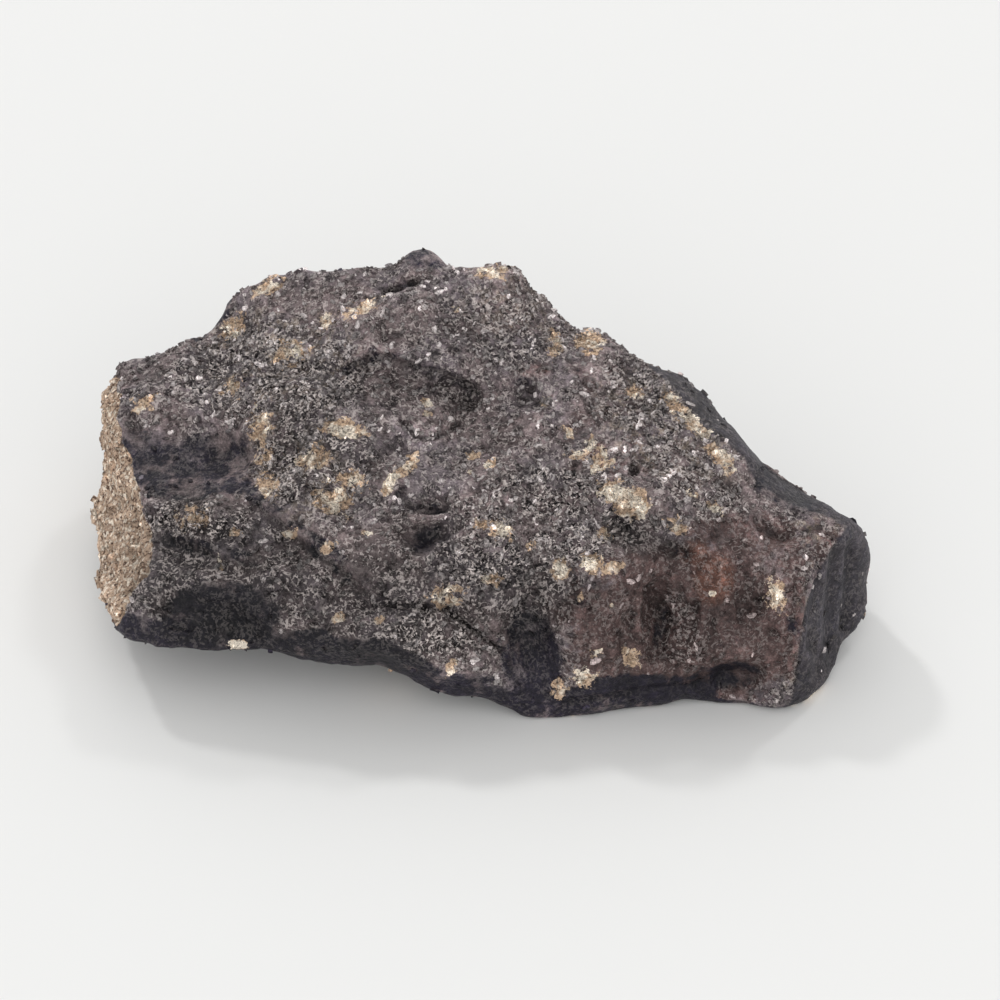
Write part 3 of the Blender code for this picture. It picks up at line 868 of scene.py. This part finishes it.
DENTS = (
    Dent(-0.8, 21.6, 0.7, 0.85, 0.40, crisp=0.6),
    Dent(-2.4, 22.3, 0.55, 0.4, 0.40),
    Dent(2.7, 22.1, 1.3, 0.9, 0.38, crisp=0.8),
    Dent(4.0, 21.0, 0.7, 0.55, 0.50),
    Dent(-5.9, 28.5, 0.7, 0.4, 0.55),
    Dent(-4.5, 29.0, 0.5, 0.35, 0.50),
    Dent(-4.9, 27.1, 1.7, 1.4, -0.35),
    Dent(-3.7, 12.0, 1.8, 1.0, 0.45, crisp=0.6),
    Dent(10.1, 16.5, 0.38, 0.5, 0.60, crisp=0.3),
    Dent(16.6, 2.8, 2.0, 1.1, 0.50, crisp=1.0),
    Dent(-21.5, 7.4, 1.7, 1.8, -0.40),
    Dent(-3.3, 20.9, 2.1, 1.5, -0.35),
    Dent(-2.0, 15.6, 1.6, 1.0, -0.30),
    Dent(5.3, 9.9, 0.8, 0.9, -0.22),
    Dent(8.0, 10.1, 1.6, 0.9, -0.20),
    Dent(19.6, 8.2, 0.9, 1.3, -0.20),
    Dent(9.6, 14.5, 2.0, 1.3, -0.20),
    Dent(-17.0, 17.2, 1.6, 1.0, 0.30),
    Dent(-12.4, 8.6, 2.4, 1.2, -0.30, -25.0),
    Dent(-18.5, 9.0, 3.0, 0.9, -0.25, -15.0),
    Dent(22.6, 12.2, 2.0, 0.9, -0.20, -10.0),
    Dent(15.6, 5.2, 1.8, 2.0, -0.30),
    Dent(7.6, 6.0, 1.6, 2.2, -0.20),
)

CREASES = (
    Crease(((-5.2, 19.6), (-4.6, 19.0), (-4.0, 18.7), (-3.1, 18.8), (-2.4, 19.2), (-1.6, 19.7)), 0.30, 0.45),
    Crease(((-5.5, 14.9), (-4.7, 14.1), (-3.6, 13.8), (-2.4, 13.9)), 0.40, 0.40),
    Crease(((-4.9, 13.1), (-3.5, 13.3), (-2.2, 13.6)), 0.35, -0.35),
    Crease(((-3.0, 11.4), (-1.6, 11.9), (0.4, 12.3), (2.6, 12.5)), 0.45, -0.25),
    Crease(((-6.8, 8.0), (-5.5, 7.6), (-3.8, 7.5), (-2.2, 7.5)), 0.35, 0.55),
    Crease(((-2.3, 7.4), (-1.0, 6.2), (0.4, 5.2), (1.4, 4.6)), 0.26, 0.60),
    Crease(((-22.0, 13.8), (-19.5, 13.6), (-17.0, 13.2), (-15.8, 12.6)), 0.80, -0.30),
    Crease(((-20.8, 5.7), (-19.2, 5.6)), 0.22, -0.25),
    Crease(((-23.6, 20.6), (-21.4, 21.0), (-18.6, 20.2), (-17.0, 19.4)), 0.50, -0.25),
    Crease(((11.2, 8.6), (11.9, 7.3), (11.9, 5.6), (11.4, 4.2)), 0.60, 0.40),
    Crease(((11.0, 9.2), (10.5, 7.4), (10.5, 6.0)), 0.35, -0.25),
    Crease(((14.2, 7.6), (14.0, 5.6), (13.2, 3.6)), 0.35, 0.25),
    Crease(((21.2, 9.2), (21.1, 7.0), (20.8, 4.5), (20.4, 2.2)), 0.30, -0.35),
    Crease(((22.6, 10.6), (22.2, 8.0), (22.0, 4.6)), 0.40, 0.32),
    Crease(((23.6, 11.2), (23.3, 8.0), (23.0, 5.0)), 0.40, 0.32),
    Crease(((24.6, 11.6), (24.5, 8.4), (24.2, 6.0)), 0.40, 0.32),
    Crease(((18.6, 12.8), (19.9, 12.3), (21.2, 12.2), (22.6, 12.8)), 0.35, 0.22),
    Crease(((5.5, 1.0), (8.2, 1.3), (11.0, 1.9), (14.4, 2.1)), 0.35, 0.25),
)

STEPS = (
    Step(((-9.8, 22.7), (-8.8, 23.8), (-7.3, 24.5), (-6.3, 24.5), (-5.3, 24.0), (-4.0, 23.5), (-2.8, 23.3),
          (-1.7, 22.9), (-0.6, 22.2), (0.4, 21.0)), 0.60, 3.2),
    Step(((-22.6, 12.8), (-20.5, 12.1), (-18.8, 11.6), (-17.0, 10.6), (-14.6, 10.3)), 0.45, 1.8),
    Step(((-16.4, 15.4), (-14.5, 14.0), (-13.2, 13.1), (-12.2, 12.1), (-10.6, 11.0), (-9.2, 10.0),
          (-8.2, 9.0), (-7.0, 8.0), (-5.0, 7.6)), 0.50, 2.0),
    Step(((-24.0, 19.2), (-21.6, 19.0), (-19.0, 18.9), (-16.4, 19.0)), 0.18, 3.0),
    Step(((-9.0, 7.9), (-6.8, 7.9), (-4.0, 7.5), (-2.2, 7.5), (-0.8, 6.2), (1.0, 5.0)), 0.30, 1.6),
    Step(((8.0, 13.6), (10.2, 12.9), (11.3, 12.5), (12.5, 12.0), (14.0, 11.4), (15.4, 10.2)), 0.38, 2.4),
    Step(((-2.5, 18.0), (0.5, 18.6), (3.5, 18.6), (6.0, 17.4)), 0.35, 2.4),
    Step(((16.0, 17.0), (18.0, 14.6), (19.6, 12.8), (21.6, 12.6)), 0.45, 2.0),
)


class Skin:
    """The stone's skin as arrays, in millimetres.

    Once it has been faced it also knows its normals, its places on the picture, and how far each point faces
    the viewer, from 0 to 1.
    """

    def __init__(self, mesh: bpy.types.Mesh) -> None:
        """Reads a mesh that is in metres.

        Args:
            mesh: The mesh to read.
        """
        mesh.calc_loop_triangles()
        self.mesh = mesh
        self.points = self.rows(mesh.vertices, "co", 3, float) / MM
        self.ends = self.rows(mesh.edges, "vertices", 2, int)
        self.corners = self.rows(mesh.loop_triangles, "vertices", 3, int)
        self.links = np.bincount(self.ends.ravel(), minlength=len(self.points))

    def rows(self, items: bpy.types.bpy_prop_collection, name: str, width: int, kind: type) -> Array:
        """Reads a property of some items.

        Args:
            items: The mesh's points, edges or triangles.
            name: The property's name.
            width: How many numbers each item has.
            kind: The numbers' type.

        Returns:
            One row for each item.
        """
        flat = np.empty(width * len(items), kind)
        items.foreach_get(name, flat)
        return flat.reshape(-1, width)

    def evened(self, values: Array, rounds: int) -> Array:
        """Averages values with their neighbours'.

        Args:
            values: One row for each point.
            rounds: How many times to average.

        Returns:
            The averaged values.
        """
        first, second = self.ends.T
        for _ in range(rounds):
            columns = []
            for column in values.T:
                total = np.bincount(first, column[second], len(column))
                total += np.bincount(second, column[first], len(column))
                columns.append(0.5 * column + 0.5 * total / self.links)
            values = np.column_stack(columns)
        return values

    def face(self, picture: Picture, rounds: int) -> None:
        """Works out the way the skin faces at each point, and where it is on the picture.

        Args:
            picture: The view of the stone.
            rounds: How many rounds of evening the form has first.
        """
        points = self.evened(self.points, rounds)
        a, b, c = (points[self.corners[:, k]] for k in range(3))
        faces = np.cross(b - a, c - a)
        found = np.zeros_like(points)
        for k in range(3):
            for axis in range(3):
                found[:, axis] += np.bincount(self.corners[:, k], faces[:, axis], len(points))
        self.normals = found / np.linalg.norm(found, axis=1)[:, None]
        self.places = picture.places(self.points)
        self.facing = smooth_step(self.normals @ picture.toward, 0.0, 0.25)

    def write(self) -> None:
        """Puts the points back into the mesh."""
        self.mesh.vertices.foreach_set("co", (self.points * MM).ravel())
        self.mesh.update()

    def keep(self, name: str, values: Array) -> None:
        """Stores one number for each point under a name."""
        self.mesh.attributes.new(name, "FLOAT", "POINT").data.foreach_set("value", values.astype(np.float32))


@dataclass
class Stone:
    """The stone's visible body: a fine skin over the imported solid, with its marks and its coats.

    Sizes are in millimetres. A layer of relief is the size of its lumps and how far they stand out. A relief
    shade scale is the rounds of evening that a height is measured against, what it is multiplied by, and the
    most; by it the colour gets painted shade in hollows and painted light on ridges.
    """

    picture: Picture
    finish: CrustFinish
    grid: float = 0.226
    merge: float = 0.001
    facets_smoothed: int = 9
    evening: int = 14
    crust_layers: tuple[Layer, ...] = ((3.4, 0.50), (1.6, 0.22), (0.8, 0.13))
    grit_layers: tuple[Layer, ...] = ((0.9, 0.10), (0.5, 0.14))
    break_layers: tuple[Layer, ...] = ((2.2, 0.50), (1.1, 0.28), (0.55, 0.16))
    relief_shade_scales: tuple[tuple[int, float, float], ...] = ((4, 4.0, 0.45), (40, 1.3, 0.45))
    fibre_size: float = 0.8
    fibre_stretch: Point = (0.7, 2.0, 3.0)
    fibre_depth: float = 0.16
    crust_thickness: float = 0.28
    chip_depth: float = 0.10
    chip_rarity: float = 0.56
    foot_reach: float = 0.5
    clear_of_floor: Place = (0.35, 0.7)

    def fine_mesh(self) -> bpy.types.Mesh:
        """Refines a merged copy of the solid.

        Returns:
            An even, fine mesh of the solid's form.
        """
        mesh = bmesh.new()
        mesh.from_mesh(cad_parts[NODE].data)
        bmesh.ops.remove_doubles(mesh, verts=mesh.verts, dist=self.merge * MM)
        data = bpy.data.meshes.new("coarse")
        mesh.to_mesh(data)
        mesh.free()
        body = in_scene("coarse", data)
        remesh = body.modifiers.new("fine", "REMESH")
        remesh.mode = "VOXEL"
        remesh.voxel_size = self.grid * MM
        graph = bpy.context.evaluated_depsgraph_get()
        fine = bpy.data.meshes.new_from_object(body.evaluated_get(graph))
        bpy.data.objects.remove(body, do_unlink=True)
        bpy.data.meshes.remove(data)
        return fine

    def coats(self, skin: Skin) -> dict[Coat, Array]:
        """Works out how much of each coat every point of the skin has.

        Args:
            skin: The skin.

        Returns:
            One array for each coat.
        """
        found = {coat: np.zeros(len(skin.points)) for coat in Coat}
        for coat, marks in COAT_MARKS.items():
            for mark in marks:
                amount = mark.strength * smooth_step(mark.reach(skin.places), 1.25, 0.6) * skin.facing
                found[coat] = np.maximum(found[coat], amount)
        found[Coat.BARE] = self.bare(skin)
        self.add_end(skin, found)
        self.add_hidden(skin, found)
        found[Coat.GRITTY] *= 1.0 - 0.9 * smooth_step(found[Coat.BLACK], 0.2, 0.8)
        found[Coat.BROKEN] = self.broken(skin)
        return found

    def bare(self, skin: Skin) -> Array:
        """Where the crust has chipped away: at its marks on the show side, and at random on the hidden one.

        Args:
            skin: The skin.

        Returns:
            About 0 at a chip's edge, up to 1 inside it and down to -1 far from it.
        """
        hidden = 1.0 - skin.facing
        found = np.full(len(skin.points), -1.0)
        for mark in BARE_MARKS:
            shown = np.clip(mark.strength * (1.0 - mark.reach(skin.places)), -1.0, 1.0)
            found = np.maximum(found, shown * skin.facing - hidden)
        chips = 2.0 * (lumps(skin.points, 3.4, 5.0) + 0.55 * lumps(skin.points, 1.2, 8.0) - self.chip_rarity)
        return np.maximum(found, np.clip(chips, -1.0, 0.8) * hidden - skin.facing)

    def add_end(self, skin: Skin, found: dict[Coat, Array]) -> None:
        """Adds the smooth dark crust of the strip along the back right and of the fluted end.

        Args:
            skin: The skin.
            found: The coats so far.
        """
        strip = self.left_of(skin, STRIP_EDGE, -0.35) * smooth_step(skin.places[:, 1], 12.0, 13.5)
        end = self.left_of(skin, END_EDGE, -0.25)
        found[Coat.SMOOTH] = smooth_step(skin.facing, 0.0, 0.35) * np.maximum(strip, end)
        found[Coat.BLACK] = np.maximum(found[Coat.BLACK], 0.30 * found[Coat.SMOOTH])
        found[Coat.BROWN] *= 1.0 - end

    def add_hidden(self, skin: Skin, found: dict[Coat, Array]) -> None:
        """Adds the coats that nothing in the picture places, underneath and on the hidden side.

        Args:
            skin: The skin.
            found: The coats so far.
        """
        hidden = 1.0 - skin.facing
        patchy = smooth_step(lumps(skin.points, 7.0, 3.0) + 0.5 * lumps(skin.points, 2.4, 6.0), -0.12, 0.22)
        under = 0.9 * smooth_step(-skin.normals[:, 2], 0.0, 0.35)
        found[Coat.BLACK] = np.maximum.reduce([found[Coat.BLACK], under, hidden * (0.25 + 0.65 * patchy)])
        found[Coat.BROWN] = np.maximum(found[Coat.BROWN], 0.6 * hidden * (1.0 - patchy))
        found[Coat.GRITTY] = np.maximum(found[Coat.GRITTY], 0.18 + 0.08 * hidden)
        found[Coat.DUSTY] = np.maximum(found[Coat.DUSTY], 0.35 * hidden)

    def left_of(self, skin: Skin, edge: tuple[Place, ...], soft: float, ragged: Array | float = 0.0) -> Array:
        """Works out which points are on the left of an edge on the picture.

        Args:
            skin: The skin.
            edge: The edge's places, from the top down.
            soft: How far it is eased to each side, or the same below 0 to find the points on its right.
            ragged: How far it is moved to the right at each point.

        Returns:
            0 on one side and 1 on the other.
        """
        line = np.array(edge)[::-1]
        left = np.interp(skin.places[:, 1], line[:, 1], line[:, 0]) - skin.places[:, 0]
        return smooth_step(left + ragged, -soft, soft)

    def broken(self, skin: Skin) -> Array:
        """Where the stone is freshly broken, around the left end.

        Args:
            skin: The skin.

        Returns:
            0 on crust and 1 on the break.
        """
        shown = self.left_of(skin, BREAK_EDGE, 0.12, 0.25 * lumps(skin.points, 0.8, 2.0))
        turned = -skin.normals[:, 0] + 0.25 * lumps(skin.points, 2.0, 4.0)
        behind = smooth_step(turned, 0.50, 0.56) * smooth_step(-skin.points[:, 0], 20.0, 21.0)
        return np.where(skin.facing > 0.35, shown, behind)

    def relief(self, skin: Skin, coats: dict[Coat, Array]) -> Array:
        """Works out how far the skin stands out at every point.

        Args:
            skin: The skin.
            coats: How much of each coat it has.

        Returns:
            The distance along the normal, in millimetres.
        """
        def layered(layers: tuple[Layer, ...], seed: float) -> Array:
            return sum(depth * lumps(skin.points, size, seed + size) for size, depth in layers)

        rough = 1.0 - 0.7 * np.maximum(coats[Coat.BLACK], coats[Coat.SMOOTH])
        crust = layered(self.crust_layers, 1.0) * rough
        grit = layered(self.grit_layers, 7.0) * coats[Coat.GRITTY]
        fibre = lumps(skin.points, self.fibre_size, 12.0, self.fibre_stretch)
        granular = layered(self.break_layers, 3.0) - self.crust_thickness
        broken = coats[Coat.BROKEN]
        out = crust + grit + self.fibre_depth * fibre * coats[Coat.BROWN]
        out = out * (1.0 - broken) + broken * granular
        out -= self.chip_depth * smooth_step(coats[Coat.BARE], -0.1, 0.25) * (1.0 - broken)
        for mark in (*DENTS, *CREASES, *STEPS):
            out -= skin.facing * mark.press(skin.places)
        return out

    def grained(self, skin: Skin, coats: dict[Coat, Array]) -> Array:
        """Works out how thickly grains lie at every point, from 0 to 1.

        Args:
            skin: The skin.
            coats: How much of each coat it has.

        Returns:
            One share for each point.
        """
        lumpy = lumps(skin.points, 1.4, 21.0) + 0.5 * lumps(skin.points, 0.6, 23.0)
        clustered = smooth_step(lumpy, -0.15, 0.15)
        share = (0.04 + 0.62 * coats[Coat.GRITTY]) * (0.30 + 0.85 * clustered)
        dimmed = 1.0 - 0.35 * np.minimum(coats[Coat.DIM_CRUST_AND_SHADE], 1.0)
        share *= (1.0 - 0.7 * smooth_step(coats[Coat.BROWN], 0.3, 0.8)) * dimmed
        share = np.maximum(share, 0.16 * smooth_step(coats[Coat.BARE], -0.1, 0.3))
        share *= 1.0 - 0.88 * smooth_step(coats[Coat.BLACK], 0.2, 0.7)
        share *= 1.0 - 0.96 * smooth_step(coats[Coat.SMOOTH], 0.2, 0.7)
        share = np.where(coats[Coat.BROKEN] > 0.5, 0.04, share)
        return share * smooth_step(skin.points[:, 2], *self.clear_of_floor)

    def build(self) -> bpy.types.Object:
        """Makes the skin, its relief and its attributes.

        Returns:
            The stone's object.
        """
        skin = Skin(self.fine_mesh())
        skin.points = skin.evened(skin.points, self.facets_smoothed)
        skin.face(self.picture, self.evening)
        coats = self.coats(skin)
        out = self.relief(skin, coats)
        out *= smooth_step(skin.points[:, 2], 0.0, self.foot_reach)
        skin.points += skin.normals * out[:, None]
        skin.points[:, 2] = np.maximum(skin.points[:, 2], 0.0)
        # Painted shade and light: darker where the skin lies below its evened neighbours, lighter where it
        # stands out.
        for rounds, gain, most in self.relief_shade_scales:
            stands_out = np.einsum("ij,ij->i", skin.points - skin.evened(skin.points, rounds), skin.normals)
            coats[Coat.RELIEF_SHADE] += np.clip(gain * stands_out, -most, 0.6 * most)
        skin.write()
        for coat, values in coats.items():
            skin.keep(coat.value, values)
        skin.keep(GRAINED, self.grained(skin, coats))
        skin.mesh.shade_smooth()
        skin.mesh.materials.clear()
        skin.mesh.materials.append(self.finish.material("fusion_crust"))
        stone = in_scene("stone", skin.mesh)
        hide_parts(NODE)
        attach(stone, BODY)
        log.info("stone: %d triangles", len(skin.corners))
        return stone


class Strewer(Wiring):
    """The node tree that strews crumbs over a surface, each turned, sized and toned at random.

    A crumb is a short bent rod of half-length 1 before it is sized. Its proportions are the least and the
    most that each axis is then multiplied by.
    """

    INPUTS = (("Density", "NodeSocketFloat"), ("Smallest", "NodeSocketFloat"), ("Largest", "NodeSocketFloat"),
              ("Bend", "NodeSocketVector"), ("Seed", "NodeSocketInt"), ("Material", "NodeSocketMaterial"))
    THICKNESS = 0.14
    SIDES = 3
    RUNS = 3
    TILT = 0.20
    PROPORTIONS = ((0.6, 0.7, 0.7), (1.5, 1.3, 1.2))

    def __init__(self, name: str) -> None:
        """Builds the tree.

        Args:
            name: The tree's name.
        """
        super().__init__(bpy.data.node_groups.new(name, "GeometryNodeTree"))
        face = self.tree.interface
        face.new_socket("Surface", in_out="INPUT", socket_type="NodeSocketGeometry")
        self.keys = {title: face.new_socket(title, in_out="INPUT", socket_type=kind).identifier
                     for title, kind in self.INPUTS}
        face.new_socket("Grains", in_out="OUTPUT", socket_type="NodeSocketGeometry")
        self.given = self.node("NodeGroupInput").outputs
        self.wire()

    def random(self, kind: str, low: Value, high: Value, salt: int) -> Socket:
        """Adds a random value, one for each crumb.

        Args:
            kind: FLOAT or FLOAT_VECTOR.
            low: The lowest value.
            high: The highest value.
            salt: What is added to the seed.

        Returns:
            The value's socket.
        """
        seed = self.math("ADD", self.given["Seed"], salt)
        node = self.node("FunctionNodeRandomValue", {"Seed": seed}, data_type=kind)
        sockets = [socket for socket in node.inputs if socket.enabled]
        for socket, value in zip(sockets, (low, high)):
            self.feed(socket, value)
        return next(socket for socket in node.outputs if socket.enabled)

    def crumb(self) -> Socket:
        """Builds one crumb, thin at its ends.

        Returns:
            The crumb's mesh.
        """
        ends = {"Start": (-1.0, 0.0, 0.0), "Middle": self.given["Bend"], "End": (1.0, 0.0, 0.0)}
        spine = self.node("GeometryNodeCurveQuadraticBezier", {"Resolution": self.RUNS, **ends})
        along = self.node("GeometryNodeSplineParameter").outputs["Factor"]
        far = self.math("ABSOLUTE", self.math("MULTIPLY_ADD", along, 2.0, -1.0))
        thick = self.math("MULTIPLY_ADD", far, -0.8 * self.THICKNESS, 1.2 * self.THICKNESS)
        tapered = self.node("GeometryNodeSetCurveRadius", {"Curve": spine.outputs["Curve"], "Radius": thick})
        ring = self.node("GeometryNodeCurvePrimitiveCircle", {"Resolution": self.SIDES, "Radius": 1.0})
        sweep = {"Curve": tapered.outputs["Curve"], "Profile Curve": ring.outputs["Curve"], "Fill Caps": True}
        rod = self.node("GeometryNodeCurveToMesh", sweep)
        return self.node("GeometryNodeSetShadeSmooth", {"Geometry": rod.outputs["Mesh"]}).outputs["Geometry"]

    def wire(self) -> None:
        """Wires the tree up."""
        share = self.node("GeometryNodeInputNamedAttribute", {"Name": GRAINED}, data_type="FLOAT")
        density = self.math("MULTIPLY", share.outputs["Attribute"], self.given["Density"])
        bed = {"Mesh": self.given["Surface"], "Density": density, "Seed": self.given["Seed"]}
        spots = self.node("GeometryNodeDistributePointsOnFaces", bed, distribute_method="RANDOM").outputs
        size = self.random("FLOAT", self.given["Smallest"], self.given["Largest"], 1)
        scale = self.scaled(self.random("FLOAT_VECTOR", *self.PROPORTIONS, 2), size)
        tilts = (-self.TILT, -self.TILT, 0.0), (self.TILT, self.TILT, math.tau)
        spin = self.node("FunctionNodeEulerToRotation", {0: self.random("FLOAT_VECTOR", *tilts, 3)})
        turned = self.node("FunctionNodeRotateRotation", {0: spots["Rotation"], 1: spin.outputs[0]},
                           rotation_space="LOCAL")
        each = {"Instance": self.crumb(), "Rotation": turned.outputs[0], "Scale": scale}
        placed = self.node("GeometryNodeInstanceOnPoints", {"Points": spots["Points"], **each})
        store = {"Geometry": placed.outputs["Instances"], "Name": TONE,
                 "Value": self.random("FLOAT", 0.0, 1.0, 4)}
        toned = self.node("GeometryNodeStoreNamedAttribute", store, data_type="FLOAT", domain="INSTANCE")
        real = self.node("GeometryNodeRealizeInstances", {"Geometry": toned.outputs["Geometry"]})
        dress = {"Geometry": real.outputs["Geometry"], "Material": self.given["Material"]}
        dressed = self.node("GeometryNodeSetMaterial", dress)
        self.node("NodeGroupOutput", {0: dressed.outputs["Geometry"]})


@dataclass(frozen=True)
class Grit:
    """Crumbs of one size class, sunk in the skin: how many to a square millimetre, and their half-lengths."""

    name: str
    per_area: float
    smallest: float
    largest: float
    bend: Point
    seed: int

    def build(self, stone: bpy.types.Object, strewer: Strewer, material: bpy.types.Material) -> None:
        """Strews the crumbs.

        Args:
            stone: The stone that they lie on.
            strewer: The node tree that strews them.
            material: What they are made of.
        """
        bed = in_scene("bed", stone.data)
        strew = bed.modifiers.new("strew", "NODES")
        strew.node_group = strewer.tree
        values = {"Density": self.per_area / MM ** 2, "Smallest": self.smallest * MM,
                  "Largest": self.largest * MM, "Bend": self.bend, "Seed": self.seed, "Material": material}
        for title, value in values.items():
            strew[strewer.keys[title]] = value
        graph = bpy.context.evaluated_depsgraph_get()
        data = bpy.data.meshes.new_from_object(bed.evaluated_get(graph))
        bed.modifiers.remove(strew)
        bpy.data.objects.remove(bed, do_unlink=True)
        data.name = self.name
        crumbs = in_scene(self.name, data)
        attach(crumbs, BODY)
        log.info("%s: %d triangles", self.name, sum(len(face.vertices) - 2 for face in data.polygons))


GRITS = (
    Grit("long_crumbs", 11.0, 0.13, 0.24, (0.0, 0.9, 0.12), 11),
    Grit("curled_crumbs", 13.0, 0.11, 0.19, (0.3, 1.7, 0.10), 12),
    Grit("coiled_crumbs", 13.0, 0.10, 0.17, (-0.4, -1.5, 0.20), 15),
    Grit("short_crumbs", 12.0, 0.07, 0.12, (0.0, 0.6, 0.40), 13),
    Grit("fine_crumbs", 12.0, 0.05, 0.09, (0.2, -1.1, 0.30), 14),
)


def main() -> None:
    """Builds the stone and its studio."""
    logging.basicConfig(level=logging.INFO, format="%(name)s: %(message)s")
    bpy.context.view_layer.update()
    picture = Picture()
    picture.add_camera()
    Studio().build()
    finish = CrustFinish()
    stone = Stone(picture, finish).build()
    strewer = Strewer("strewer")
    grain = finish.material("crust_grains", grains=True)
    for grit in GRITS:
        grit.build(stone, strewer, grain)


if __name__ == "__main__":
    main()
